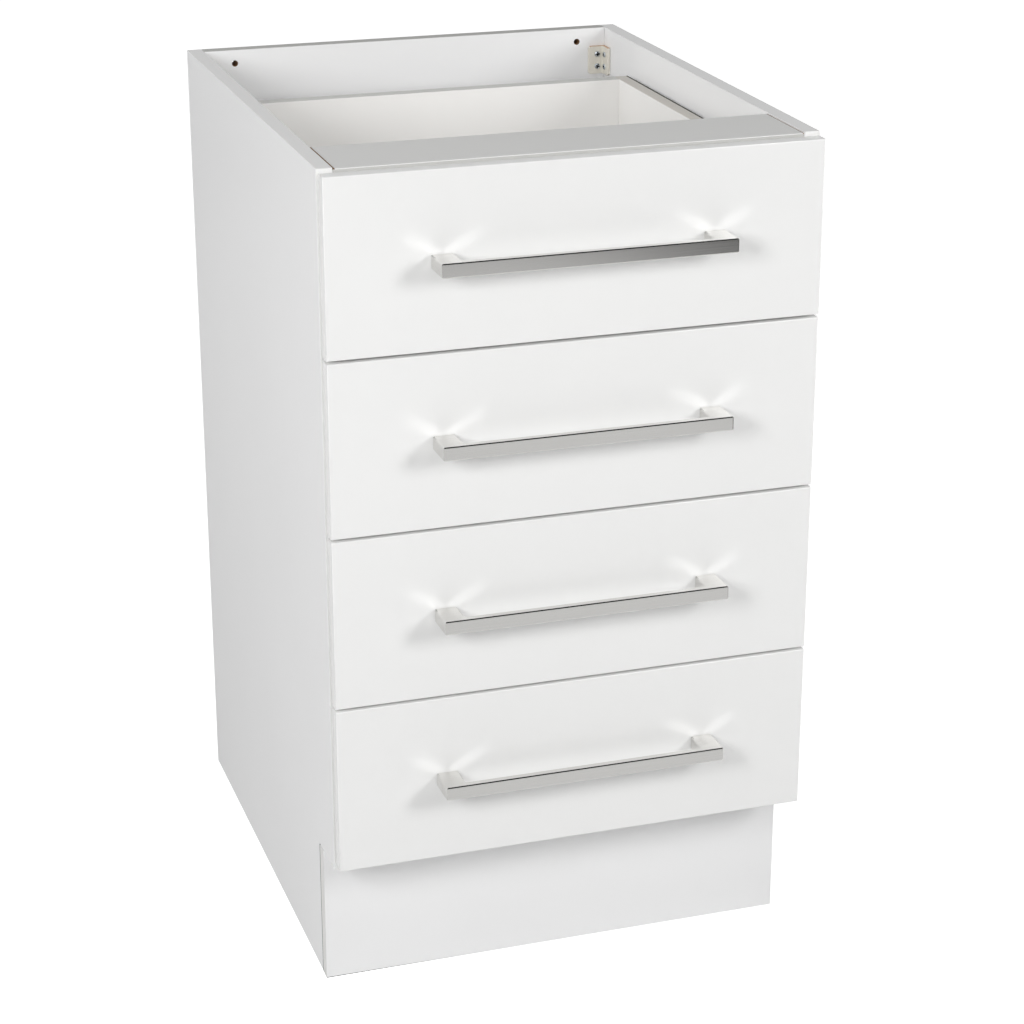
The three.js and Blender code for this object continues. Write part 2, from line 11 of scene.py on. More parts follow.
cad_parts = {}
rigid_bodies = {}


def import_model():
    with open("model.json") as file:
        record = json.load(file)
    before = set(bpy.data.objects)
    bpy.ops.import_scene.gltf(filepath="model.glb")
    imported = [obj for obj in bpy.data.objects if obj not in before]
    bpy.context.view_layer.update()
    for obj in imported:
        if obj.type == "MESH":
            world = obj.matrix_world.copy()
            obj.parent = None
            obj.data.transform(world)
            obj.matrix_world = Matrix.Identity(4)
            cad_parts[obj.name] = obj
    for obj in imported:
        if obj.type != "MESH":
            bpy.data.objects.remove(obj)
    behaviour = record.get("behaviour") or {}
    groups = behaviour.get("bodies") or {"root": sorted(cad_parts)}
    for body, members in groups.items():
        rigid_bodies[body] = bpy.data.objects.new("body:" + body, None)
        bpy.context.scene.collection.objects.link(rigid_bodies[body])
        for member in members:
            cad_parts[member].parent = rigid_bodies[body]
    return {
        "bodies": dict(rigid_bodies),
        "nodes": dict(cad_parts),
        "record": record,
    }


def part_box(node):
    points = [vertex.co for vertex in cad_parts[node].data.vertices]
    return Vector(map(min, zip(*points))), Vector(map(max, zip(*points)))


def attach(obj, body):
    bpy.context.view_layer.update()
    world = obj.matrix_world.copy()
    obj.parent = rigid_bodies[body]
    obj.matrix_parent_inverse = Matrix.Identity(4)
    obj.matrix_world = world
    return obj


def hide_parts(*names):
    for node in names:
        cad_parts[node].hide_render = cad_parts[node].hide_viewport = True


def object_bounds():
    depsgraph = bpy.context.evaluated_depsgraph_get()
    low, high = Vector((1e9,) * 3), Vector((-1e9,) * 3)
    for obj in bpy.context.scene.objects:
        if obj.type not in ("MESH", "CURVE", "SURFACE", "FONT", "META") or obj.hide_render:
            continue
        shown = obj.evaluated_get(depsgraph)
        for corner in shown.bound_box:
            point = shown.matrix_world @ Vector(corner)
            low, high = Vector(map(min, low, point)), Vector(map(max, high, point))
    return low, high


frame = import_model()
cad_low, cad_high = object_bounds()

record = frame["record"]
BODY_OF = {node: body for body, nodes in record["behaviour"]["bodies"].items() for node in nodes}
SLOT_OF = {row["node"]: row["material_slot"] for row in record["subparts"]}
SCREW_SLOT = "runner_steel"
BOX_SIDES = [node for node in SLOT_OF if node.startswith("drawer") and node.endswith("_side")]
DRAWERS = sorted(
    body for body in frame["bodies"] if body.startswith("drawer") and body.count("_") == 1)


def mm(length):
    """Millimetres as metres."""
    return length / 1000


# ---------- Sizes ----------

# Boards
BOARD_EDGE_RADIUS = mm(0.7)
DRAWER_EDGE_RADIUS = mm(0.7)
FIBREBOARD_EDGE_RADIUS = mm(0.3)
SHEET_EDGE_RADIUS = mm(0.25)
WALL_HOLE_DIAMETER = mm(7)
WALL_HOLE_DROP = mm(15)
WALL_HOLE_INSET = mm(34)
WALL_HOLE_EXIT_SHARE = 0.5
KICKBOARD_EDGE_RADIUS = mm(1.5)
# How high the painted floor shade shows along the floor at the left and right end; below zero it is
# hidden
KICKBOARD_FLOOR_SHADE = (mm(0.85), mm(-0.9))
# Depth of the painted seam shade on the kickboard's rear edge
KICKBOARD_REAR_EDGE = mm(2)
# Width of the painted gap shade along a drawer side's outer upper corner
GAP_SHADE_WIDTH = mm(2.6)
# Painted seam shade: a dark line in the chipboard's colour along the rail's left (-1) and right (1)
# end.
# The left side panel stands higher than the rail and hides the first 1.5 mm beside it.
RAIL_SEAM_SHADE_LINES = {-1: mm(2.1), 1: mm(0.9)}
BUMPER_GAP = mm(2)

# Edges: what counts as a corner, as flat and as the same place, and how many faces a rounding has
SHARP_ANGLE = math.radians(50)
FLAT_ANGLE = math.radians(0.5)
MERGE_DISTANCE = mm(0.001)
TOUCH = mm(0.01)
NEAR = mm(0.1)
SHORTEST_ROUNDED_EDGE = mm(5)
BOARD_SEGMENTS = 2
KICKBOARD_SEGMENTS = 3
FILLET_SEGMENTS = 4
CORNER_SEGMENTS = 5
# A face whose normal has at least this share along an axis faces that way
STRAIGHT = 0.9
# A face whose normal has less than this share along every axis is part of a rounded edge
ROUNDED = 0.99

# Handles
BAR_DEPTH = mm(8)
POST_WIDTH = mm(22)
HANDLE_CORNER_RADIUS = mm(1.4)
HANDLE_INNER_RADIUS = mm(1.5)
HANDLE_CHAMFER = mm(1)
HANDLE_CREASE = math.radians(40)

# Brackets
BRACKET_LEG = mm(20)
BRACKET_THICKNESS = mm(3)
BRACKET_CORNER_RADIUS = mm(3)
BRACKET_FILLET_RADIUS = mm(1.5)
BRACKET_EDGE_RADIUS = mm(0.4)
BRACKET_SCREW_REACH = mm(9.5)
BRACKET_SCREW_DROPS = [mm(9.2), mm(23.2)]
SEAT_GAP = mm(0.3)

# Screws with a cross recess
BRACKET_SCREW_HEAD = mm(6.6)
BRACKET_SCREW_HEIGHT = mm(1.8)
HANDLE_SCREW_HEAD = mm(8)
HANDLE_SCREW_HEIGHT = mm(2.4)
# The pan head from its rim to its middle, as shares of its radius and height
PAN_HEAD = [(1, 0), (1, 0.35), (0.92, 0.62), (0.7, 0.86), (0.4, 0.97), (0, 1)]
SHANK_SHARE = 0.5
SHANK_LENGTH = mm(2)
RECESS_REACH_SHARE = 0.4
RECESS_WIDTH_SHARE = 0.24
RECESS_DEPTH_SHARE = 0.8
SCREW_STEPS = 24
SCREW_TURN = math.radians(37)

# Runners
CABINET_RAIL_SHEET = mm(1.5)
RUNNER_SCREW_RISE = mm(15)
DRAWER_RAIL_WIDTH = mm(26)

# Camera, from the corners of the cabinet in the photograph
CAMERA_PLACE = (-0.813, -2.566, 1.443)
CAMERA_YAW = math.radians(18.06)
CAMERA_PITCH = math.radians(20.99)
CAMERA_LENS = 93.34

# Studio
FLOOR_SIZE = 40
FLOOR_DROP = mm(0.2)
PAPER_GLOW = 0.8
ROOM_END = 16.0
# How bright the floor is in metal, by its distance from the cabinet in metres. Its ends come first.
FLOOR_IN_METAL = [
    (0.0, 0.72), (ROOM_END, 1.0), (2.7, 0.71), (3.05, 0.7), (3.3, 0.3), (4.5, 0.25), (6.0, 0.8)]
# It darkens further to the right, between these two distances in metres, down to this share
FLOOR_SHADE_FROM = 0.85
FLOOR_SHADE_TO = 1.35
FLOOR_SHADE_SHARE = 0.25
# The world's even fill and what metal sees of it, each as (height, level) at its low and high end;
# a height is the sine of the elevation
FILL_LOW = (0.1, 0.248)
FILL_HIGH = (0.9, 0.336)
HORIZON_IN_METAL = (0.5, 0.8)
CEILING_IN_METAL = (0.8, 0.04)
# Lamps, each as azimuth and elevation in degrees, distance, width and height, and level
SOFT_BOX_SIZE = (0.62, 0.72)
SOFT_BOX_DISTANCE = 2.5
LAMPS = {
    "left_soft_box": (-43, 24, SOFT_BOX_DISTANCE, SOFT_BOX_SIZE, 0.332),
    "right_soft_box": (33, 24, SOFT_BOX_DISTANCE, SOFT_BOX_SIZE, 0.305),
    "left_reflector": (-105, 35, 1.9, (1.4, 1.2), 0.17),
}
OPENING_FILL = 0.18
# Streaks of light above a handle's posts, each as (start, sideways, up, level). Start counts from the
# post's middle, and sideways and up from there. Both start and sideways point to the bar's middle.
GLINTS = [(mm(2), mm(40), mm(21), 0.15), (mm(-2), mm(-36), mm(20), 0.135)]
GLINT_WIDTH = mm(11)
GLINT_TILT = math.radians(8)
GLINT_CLEARANCE = mm(1.5)


# ---------- Materials ----------

def linear(hex_colour):
    """An sRGB hex value as a linear colour with full alpha."""
    channels = [int(hex_colour[start:start + 2], 16) / 255 for start in (1, 3, 5)]
    return [c / 12.92 if c <= 0.04045 else ((c + 0.055) / 1.055) ** 2.4 for c in channels] + [1.0]


def add_node(tree, kind, inputs=None, **settings):
    """Adds a node with its settings; an input is a value or another node's output."""
    node = tree.nodes.new(kind)
    for name, value in settings.items():
        setattr(node, name, value)
    for key, value in (inputs or {}).items():
        if isinstance(value, bpy.types.NodeSocket):
            tree.links.new(value, node.inputs[key])
        else:
            node.inputs[key].default_value = value
    return node


def new_material(name, **surface):
    """A material with a Principled shader, its node tree and that shader."""
    material = bpy.data.materials.new(name)
    material.use_nodes = True
    tree = material.node_tree
    shader = tree.nodes["Principled BSDF"]
    for key, value in surface.items():
        shader.inputs[key].default_value = value
    return material, tree, shader


def object_noise(tree, spacing, detail=2.0, stretch=(1, 1, 1)):
    """Noise on object coordinates; spacing is a patch's size, stretch lengthens it along an axis."""
    place = add_node(tree, "ShaderNodeTexCoord")
    scale = [1 / (spacing * s) for s in stretch]
    mapped = add_node(tree, "ShaderNodeMapping", {
        "Vector": place.outputs["Object"], "Scale": scale})
    return add_node(tree, "ShaderNodeTexNoise", {
        "Vector": mapped.outputs[0], "Scale": 1.0, "Detail": detail})


def vary_surface(tree, shader, pattern, colours=None, roughness=None, relief=None):
    """Lets a pattern vary a surface between its low and its high spots.

    Colours are two hex values and roughness is two numbers, for the low and the high spots. Relief
    is how far the high spots stand out.
    """
    spots = pattern.outputs[0]
    if colours:
        ramp = add_node(tree, "ShaderNodeValToRGB", {"Fac": spots})
        for stop, colour in zip(ramp.color_ramp.elements, colours):
            stop.color = linear(colour)
        tree.links.new(ramp.outputs["Color"], shader.inputs["Base Color"])
    if roughness:
        spread = add_node(tree, "ShaderNodeMapRange", {
            "Value": spots, "To Min": roughness[0], "To Max": roughness[1]})
        tree.links.new(spread.outputs["Result"], shader.inputs["Roughness"])
    if relief:
        bump = add_node(tree, "ShaderNodeBump", {
            "Height": spots, "Strength": 1.0, "Distance": relief})
        tree.links.new(bump.outputs["Normal"], shader.inputs["Normal"])


def melamine_board(name, low, high):
    """Melamine-faced chipboard: decor paper pressed in resin, an even white with a fine pearl grain."""
    material, tree, shader = new_material(name)
    vary_surface(tree, shader, object_noise(tree, mm(220)), colours=(low, high))
    # The real grain is about 0.3 mm; it is drawn at 1.1 mm so that it shows.
    grain = object_noise(tree, mm(1.1), detail=3.0)
    vary_surface(tree, shader, grain, roughness=(0.36, 0.48), relief=mm(0.012))
    return material


def edge_band_with_painted_light(name, low, high):
    """ABS edge band on the boards' cut edges: smooth and a little glossier than the faces."""
    # Its colours are painted light: whiter than the faces as a painted highlight, greyer as painted
    # shade
    material, tree, shader = new_material(name)
    cloud = object_noise(tree, mm(60))
    vary_surface(tree, shader, cloud, colours=(low, high), roughness=(0.17, 0.24))
    return material


def silk_front_board():
    """Melamine-faced front board pressed to a silk gloss: smooth white with a very slight ripple."""
    material, tree, shader = new_material("silk_front_board")
    vary_surface(tree, shader, object_noise(tree, mm(300)), colours=("#F3F3F2", "#F6F6F5"))
    ripple = object_noise(tree, mm(9))
    vary_surface(tree, shader, ripple, roughness=(0.22, 0.27), relief=mm(0.006))
    return material


def foil_drawer_board(name, low, high):
    """Foil-wrapped drawer board: off-white with a faint cloud, satin."""
    material, tree, shader = new_material(name)
    vary_surface(tree, shader, object_noise(tree, mm(120)), colours=(low, high))
    grain = object_noise(tree, mm(0.9), detail=3.0)
    vary_surface(tree, shader, grain, roughness=(0.44, 0.56), relief=mm(0.012))
    return material


def white_fibreboard():
    """Coated fibreboard of the drawer bottoms: a matt off-white with a fine leathery grain."""
    material, tree, shader = new_material("white_fibreboard", Roughness=0.55)
    vary_surface(tree, shader, object_noise(tree, mm(90)), colours=("#EAE8E4", "#EFEDEA"))
    vary_surface(tree, shader, object_noise(tree, mm(1.6), detail=4.0), relief=mm(0.03))
    return material


def painted_gap_shade_line():
    """Painted shade: a dark line along a drawer side's outer upper edge, where the gap beside the
    cabinet wall lies.
    """
    material, tree, shader = new_material("painted_gap_shade_line", Roughness=0.8)
    unevenness = object_noise(tree, mm(4), stretch=(1, 8, 1))
    vary_surface(tree, shader, unevenness, colours=("#14110F", "#2B2723"))
    return material


def painted_seam_and_floor_shade():
    """Painted shade in the seam behind the kickboard and along the floor below it: dark grey, dull,
    slightly uneven.
    """
    material, tree, shader = new_material("painted_seam_and_floor_shade", Roughness=0.6)
    vary_surface(tree, shader, object_noise(tree, mm(8)), colours=("#2E2E2D", "#4A4A48"))
    return material


def sealed_cut_edge():
    """A board's unbanded edge, cut and sealed: a dull grey white, faintly streaked along the cut."""
    material, tree, shader = new_material("sealed_cut_edge", Roughness=0.7)
    streaks = object_noise(tree, mm(1.5), detail=3.0, stretch=(60, 1, 1))
    vary_surface(tree, shader, streaks, colours=("#CECECA", "#D4D4D1"), relief=mm(0.05))
    return material


def chipboard_core():
    """Raw chipboard where a drill has gone through: pressed wood flakes, brown and dull."""
    material, tree, shader = new_material("chipboard_core", Roughness=0.9)
    flakes = object_noise(tree, mm(1.5), detail=4.0)
    vary_surface(tree, shader, flakes, colours=("#5A3D26", "#A9825A"), relief=mm(0.2))
    return material


def satin_nickel_plate():
    """Satin nickel plate: brushed along the bar before plating, a light and nearly neutral mirror."""
    material, tree, shader = new_material("satin_nickel_plate", Metallic=1.0)
    # Brush lines are about 0.1 mm apart; they are drawn at 0.7 mm so that they show.
    lines = object_noise(tree, mm(0.7), detail=3.0, stretch=(120, 1, 1))
    vary_surface(
        tree, shader, lines, colours=("#DBDAD7", "#E6E5E3"), roughness=(0.08, 0.18),
        relief=mm(0.003))
    return material


def galvanised_sheet():
    """Galvanised sheet steel: zinc crystals a few millimetres wide in slightly different greys."""
    material, tree, shader = new_material("galvanised_sheet", Metallic=1.0)
    place = add_node(tree, "ShaderNodeTexCoord")
    crystals = add_node(tree, "ShaderNodeTexVoronoi", {
        "Vector": place.outputs["Object"], "Scale": 1 / mm(6)})
    shades = add_node(tree, "ShaderNodeRGBToBW", {"Color": crystals.outputs["Color"]})
    vary_surface(tree, shader, shades, colours=("#9EA2A5", "#C2C5C7"), roughness=(0.34, 0.5))
    return material


def moulded_polyamide(name, low, high):
    """Injection-moulded polyamide of the brackets: slightly waxy, with a fine spark-eroded grain."""
    material, tree, shader = new_material(name, Roughness=0.45)
    vary_surface(tree, shader, object_noise(tree, mm(12)), colours=(low, high))
    vary_surface(tree, shader, object_noise(tree, mm(0.5), detail=3.0), relief=mm(0.02))
    return material


def zinc_screw_steel():
    """Blue-passivated zinc on the screws: bright, cool and a little uneven."""
    material, tree, shader = new_material("zinc_screw_steel", Metallic=0.8)
    cloud = object_noise(tree, mm(2))
    vary_surface(tree, shader, cloud, colours=("#C3CDD6", "#E2E7EA"), roughness=(0.28, 0.42))
    return material


def painted_recess_shade():
    """Painted shade in a screw's cross recess: dull blue-black."""
    material, tree, shader = new_material("painted_recess_shade", Metallic=0.6, Roughness=0.6)
    vary_surface(tree, shader, object_noise(tree, mm(1)), colours=("#0B0C0E", "#1C2024"))
    return material


def moulded_grey_clip():
    """Glass-filled polyamide of the locking clips: mid grey, dull, with a fine moulded grain."""
    material, tree, shader = new_material("moulded_grey_clip", Roughness=0.5)
    vary_surface(tree, shader, object_noise(tree, mm(14)), colours=("#7C8084", "#8A8E91"))
    vary_surface(tree, shader, object_noise(tree, mm(0.6), detail=3.0), relief=mm(0.02))
    return material


def clear_bumper_rubber():
    """Soft clear polyurethane of the bumpers behind the fronts: milky and rubbery."""
    material, tree, shader = new_material("clear_bumper_rubber", Roughness=0.35)
    vary_surface(tree, shader, object_noise(tree, mm(3)), colours=("#D6D6D2", "#E2E2DE"))
    return material


MELAMINE = melamine_board("melamine_board", "#F3F3F3", "#F7F7F7")
# A greyer copy of the melamine: painted shade on the front rail, whose top gets little light from
# above, and on the kickboard's ends
SHADED_MELAMINE = melamine_board("painted_shade_melamine_board", "#E6E6E4", "#EAEAE8")
# A whiter band: banding on the front edges, and a painted highlight where it covers rounded edges
EDGE_BAND_AND_HIGHLIGHT = edge_band_with_painted_light("edge_band_with_painted_light", "#F6F6F5", "#FAFAF9")
# A greyer copy of the edge band: painted shade on the side panels' upper edges, which get little light
# from above
TOP_EDGE_SHADE_BAND = edge_band_with_painted_light("painted_shade_top_edge_band", "#E9E9E8", "#EDEDEC")
FRONT_BOARD = silk_front_board()
DRAWER_FOIL = foil_drawer_board("foil_drawer_board", "#EFEEEC", "#F3F2F0")
# A greyer copy of the drawer foil: painted shade on the box sides' upper edges, which get little light
# from above
SHADED_DRAWER_EDGE_FOIL = foil_drawer_board("painted_shade_drawer_edge", "#CDC9C1", "#D4D0C9")
FIBREBOARD = white_fibreboard()
SEALED_EDGE = sealed_cut_edge()
# Raw chipboard in the wall holes; its colour is also painted as seam shade at the rail's ends
CHIPBOARD_AND_SEAM_SHADE = chipboard_core()
GAP_SHADE_LINE = painted_gap_shade_line()
SEAM_AND_FLOOR_SHADE = painted_seam_and_floor_shade()
NICKEL = satin_nickel_plate()
GALVANISED = galvanised_sheet()
IVORY = moulded_polyamide("moulded_ivory_polyamide", "#E6E1D5", "#ECE8DD")
# A darker tan copy of the moulding: painted shade on the brackets' top faces
BRACKET_TOP_SHADE = moulded_polyamide("painted_shade_tan_polyamide", "#C29C7A", "#CFAC8C")
ZINC = zinc_screw_steel()
RECESS_SHADE = painted_recess_shade()
CLIP = moulded_grey_clip()
RUBBER = clear_bumper_rubber()

BOARD_FINISH = {
    "carcass_board": (MELAMINE, BOARD_EDGE_RADIUS),
    "front_board": (FRONT_BOARD, 0.0),
    "drawer_board": (DRAWER_FOIL, DRAWER_EDGE_RADIUS),
    "drawer_bottom_board": (FIBREBOARD, FIBREBOARD_EDGE_RADIUS),
    "runner_steel": (GALVANISED, SHEET_EDGE_RADIUS),
}


# ---------- Pieces ----------

def place_piece(name, shell, body, slot, materials, *nodes):
    """Makes a bmesh a piece of the object that rides on a body and stands for CAD nodes."""
    mesh = bpy.data.meshes.new(name)
    shell.to_mesh(mesh)
    shell.free()
    for material in materials:
        mesh.materials.append(material)
    piece = bpy.data.objects.new(name, mesh)
    bpy.context.collection.objects.link(piece)
    normals = piece.modifiers.new("weighted_normals", "WEIGHTED_NORMAL")
    normals.keep_sharp = True
    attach(piece, body)
    if nodes:
        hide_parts(*nodes)
    return piece


def smooth_except_corners(shell, crease=SHARP_ANGLE):
    """Smooth faces, with an edge kept sharp where its faces meet at a steeper angle than crease."""
    for face in shell.faces:
        face.smooth = True
    for edge in shell.edges:
        edge.smooth = edge.calc_face_angle(0.0) < crease


def bevel_edges(shell, edges, radius, segments, clamp=False):
    """Rounds edges; clamp keeps two roundings from running into each other."""
    bmesh.ops.bevel(
        shell, geom=edges, offset=radius, affect="EDGES", segments=segments, profile=0.5,
        material=-1, clamp_overlap=clamp)


def round_edges(shell, radius, segments, chosen=lambda edge: True):
    """Rounds the steep edges that chosen picks."""
    edges = [e for e in shell.edges if e.calc_face_angle(0.0) > SHARP_ANGLE and chosen(e)]
    bevel_edges(shell, edges, radius, segments, clamp=True)


def cut_across(shell, place, across):
    """Cuts all faces along a plane through place; across is its normal."""
    bmesh.ops.bisect_plane(
        shell, geom=shell.verts[:] + shell.edges[:] + shell.faces[:],
        plane_co=place, plane_no=across)


def merged_copy(node):
    """A CAD node's mesh with its loose triangles joined and its flat faces whole."""
    shell = bmesh.new()
    shell.from_mesh(frame["nodes"][node].data)
    bmesh.ops.remove_doubles(shell, verts=shell.verts, dist=MERGE_DISTANCE)
    bmesh.ops.dissolve_limit(shell, angle_limit=FLAT_ANGLE, verts=shell.verts, edges=shell.edges)
    return shell


def paint_faces(shell, index, chosen):
    """Gives the faces that chosen picks another material of the piece."""
    for face in shell.faces:
        if chosen(face):
            face.material_index = index


def finish_board(node):
    """A board or sheet with its edges rounded."""
    material, radius = BOARD_FINISH[SLOT_OF[node]]
    shell = merged_copy(node)
    if radius:
        round_edges(
            shell, radius, BOARD_SEGMENTS, lambda edge: edge.calc_length() > SHORTEST_ROUNDED_EDGE)
    smooth_except_corners(shell)
    return shell, [material]


def place_board(node, shell, materials):
    """Makes a finished board the piece that stands for its CAD node."""
    place_piece(f"{node}_finished", shell, BODY_OF[node], SLOT_OF[node], materials, node)


def add_board(node):
    """A board or sheet of one finish."""
    shell, materials = finish_board(node)
    place_board(node, shell, materials)


def at_top(face, high):
    """Whether a face is a board's flat upper edge; high is the board's upper corner."""
    return face.normal.z > STRAIGHT and face.calc_center_median().z > high.z - BOARD_EDGE_RADIUS


def at_front(face, low):
    """Whether a face is a board's flat front edge; low is the board's lower corner."""
    return face.normal.y < -STRAIGHT and face.calc_center_median().y < low.y + BOARD_EDGE_RADIUS


def add_banded_board(node):
    """A carcass board with a glossy band on its front edge, and a greyer band of painted shade on a
    side panel's upper edge.
    """
    low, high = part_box(node)
    shell, materials = finish_board(node)
    paint_faces(shell, 1, lambda face: at_front(face, low))
    if node.endswith("side_panel"):
        paint_faces(shell, 2, lambda face: at_top(face, high))
    place_board(node, shell, materials + [EDGE_BAND_AND_HIGHLIGHT, TOP_EDGE_SHADE_BAND])


def add_front_rail():
    """The rail behind the top front, painted greyer as shade, with a sealed front edge and dark painted
    seam shade at its cut ends.

    The rounding between its front edge and its top is glossy and whiter: a painted highlight.
    """
    node = "front_top_rail"
    low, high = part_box(node)
    end = INNER_HALF - SEAT_GAP
    shell = finish_board(node)[0]
    for side, width in RAIL_SEAM_SHADE_LINES.items():
        cut_across(shell, (side * (end - width), 0, 0), (1, 0, 0))
    paint_faces(shell, 1, lambda face: at_front(face, low))
    # Painted highlight: the rounding between the front edge and the top takes the whiter band
    paint_faces(shell, 3, lambda face: (
        face.normal.y < STRAIGHT - 1 and face.normal.z > 1 - STRAIGHT))
    # Painted seam shade along the cut ends
    for side, width in RAIL_SEAM_SHADE_LINES.items():
        paint_faces(shell, 2, lambda face: (
            face.calc_center_median().x * side > end - width
            and face.calc_center_median().z > high.z - BOARD_EDGE_RADIUS))
    place_board(node, shell, [SHADED_MELAMINE, SEALED_EDGE, CHIPBOARD_AND_SEAM_SHADE, EDGE_BAND_AND_HIGHLIGHT])


def add_back_panel():
    """The back panel has a sealed upper edge and shows raw chipboard inside its two wall holes.

    The holes are drilled from inside and come out narrower.
    """
    node = "back_panel"
    low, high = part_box(node)
    shell, materials = finish_board(node)
    reach = WALL_HOLE_DIAMETER / 2 + NEAR
    for side in (-1, 1):
        axis = Vector((side * (INNER_HALF - WALL_HOLE_INSET), high.y, high.z - WALL_HOLE_DROP))
        paint_faces(shell, 1, lambda face: (
            abs(face.normal.y) < 1 - STRAIGHT
            and abs(face.calc_center_median().z - axis.z) < reach
            and abs(face.calc_center_median().x - axis.x) < reach))
        rim = [v for v in shell.verts if (v.co - axis).length < reach]
        bmesh.ops.scale(
            shell, vec=(WALL_HOLE_EXIT_SHARE, 1, WALL_HOLE_EXIT_SHARE),
            space=Matrix.Translation(-axis), verts=rim)
    paint_faces(shell, 2, lambda face: at_top(face, high))
    place_board(node, shell, materials + [CHIPBOARD_AND_SEAM_SHADE, SEALED_EDGE])


def add_box_back(node):
    """The back of a drawer box, with a sealed upper edge."""
    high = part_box(node)[1]
    shell, materials = finish_board(node)
    paint_faces(shell, 1, lambda face: at_top(face, high))
    place_board(node, shell, materials + [SEALED_EDGE])


def add_box_side(node):
    """A side of a drawer box, with painted shade: a darker upper edge and a dark line along its outer
    corner.
    """
    low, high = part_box(node)
    outer = max(abs(low.x), abs(high.x)) - GAP_SHADE_WIDTH
    shell, materials = finish_board(node)
    cut_across(shell, (math.copysign(outer, low.x), 0, 0), (1, 0, 0))
    # Painted shade on the upper edge
    paint_faces(shell, 1, lambda face: at_top(face, high))
    # Painted shade of the gap beside the cabinet wall, along the outer upper corner
    paint_faces(shell, 2, lambda face: (
        abs(face.calc_center_median().x) > outer
        and face.calc_center_median().z > high.z - DRAWER_EDGE_RADIUS))
    place_board(node, shell, materials + [SHADED_DRAWER_EDGE_FOIL, GAP_SHADE_LINE])


def add_kickboard():
    """The kickboard: rounded edges, and painted shade on its greyer ends, behind it and along the
    floor.
    """
    node = "kickboard"
    low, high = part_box(node)
    shell = merged_copy(node)
    round_edges(shell, KICKBOARD_EDGE_RADIUS, KICKBOARD_SEGMENTS)
    rear_edge = Vector((0, high.y - KICKBOARD_REAR_EDGE, 0))
    left_shade, right_shade = KICKBOARD_FLOOR_SHADE
    shade_end = Vector((low.x, 0, low.z + left_shade))
    shade_normal = Vector(((left_shade - right_shade) / (high.x - low.x), 0, 1))
    cut_across(shell, rear_edge, (0, 1, 0))
    cut_across(shell, shade_end, shade_normal)
    smooth_except_corners(shell)
    # Painted shade: the ends take the greyer melamine
    paint_faces(shell, 2, lambda face: abs(face.normal.x) > STRAIGHT)
    # Painted shade in the seam behind it and along the floor
    paint_faces(shell, 1, lambda face: (
        (face.calc_center_median() - shade_end).dot(shade_normal) < 0
        or (face.calc_center_median().y > rear_edge.y and face.normal.y < STRAIGHT)))
    place_board(node, shell, [MELAMINE, SEAM_AND_FLOOR_SHADE, SHADED_MELAMINE])


def add_front(node):
    """A drawer front with polished rounded edges, whiter as a painted highlight, and on its back clear
    rubber bumpers.
    """
    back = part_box(node)[1].y - BUMPER_GAP
    shell, materials = finish_board(node)
    paint_faces(shell, 1, lambda face: face.calc_center_median().y > back + SEAT_GAP * 2)
    # Painted highlight: the rounded edges take the whiter band
    paint_faces(shell, 2, lambda face: max(abs(part) for part in face.normal) < ROUNDED)
    place_board(node, shell, materials + [RUBBER, EDGE_BAND_AND_HIGHLIGHT])


def add_cabinet_rail(node):
    """The fixed rail of a runner; the screw heads on its flange are zinc plated."""
    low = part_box(node)[0]
    flange = INNER_HALF - CABINET_RAIL_SHEET
    shell, materials = finish_board(node)
    paint_faces(shell, 1, lambda face: (
        flange - BRACKET_SCREW_HEIGHT - NEAR < abs(face.calc_center_median().x) < flange - TOUCH
        and face.calc_center_median().z > low.z + RUNNER_SCREW_RISE))
    place_board(node, shell, materials + [ZINC])


def add_drawer_rail(node):
    """The rail under the drawer; the clip beside its front end is moulded."""
    low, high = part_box(node)
    outer = max(abs(low.x), abs(high.x))
    shell, materials = finish_board(node)
    paint_faces(shell, 1, lambda face: (
        abs(face.calc_center_median().x) < outer - DRAWER_RAIL_WIDTH - NEAR))
    place_board(node, shell, materials + [CLIP])


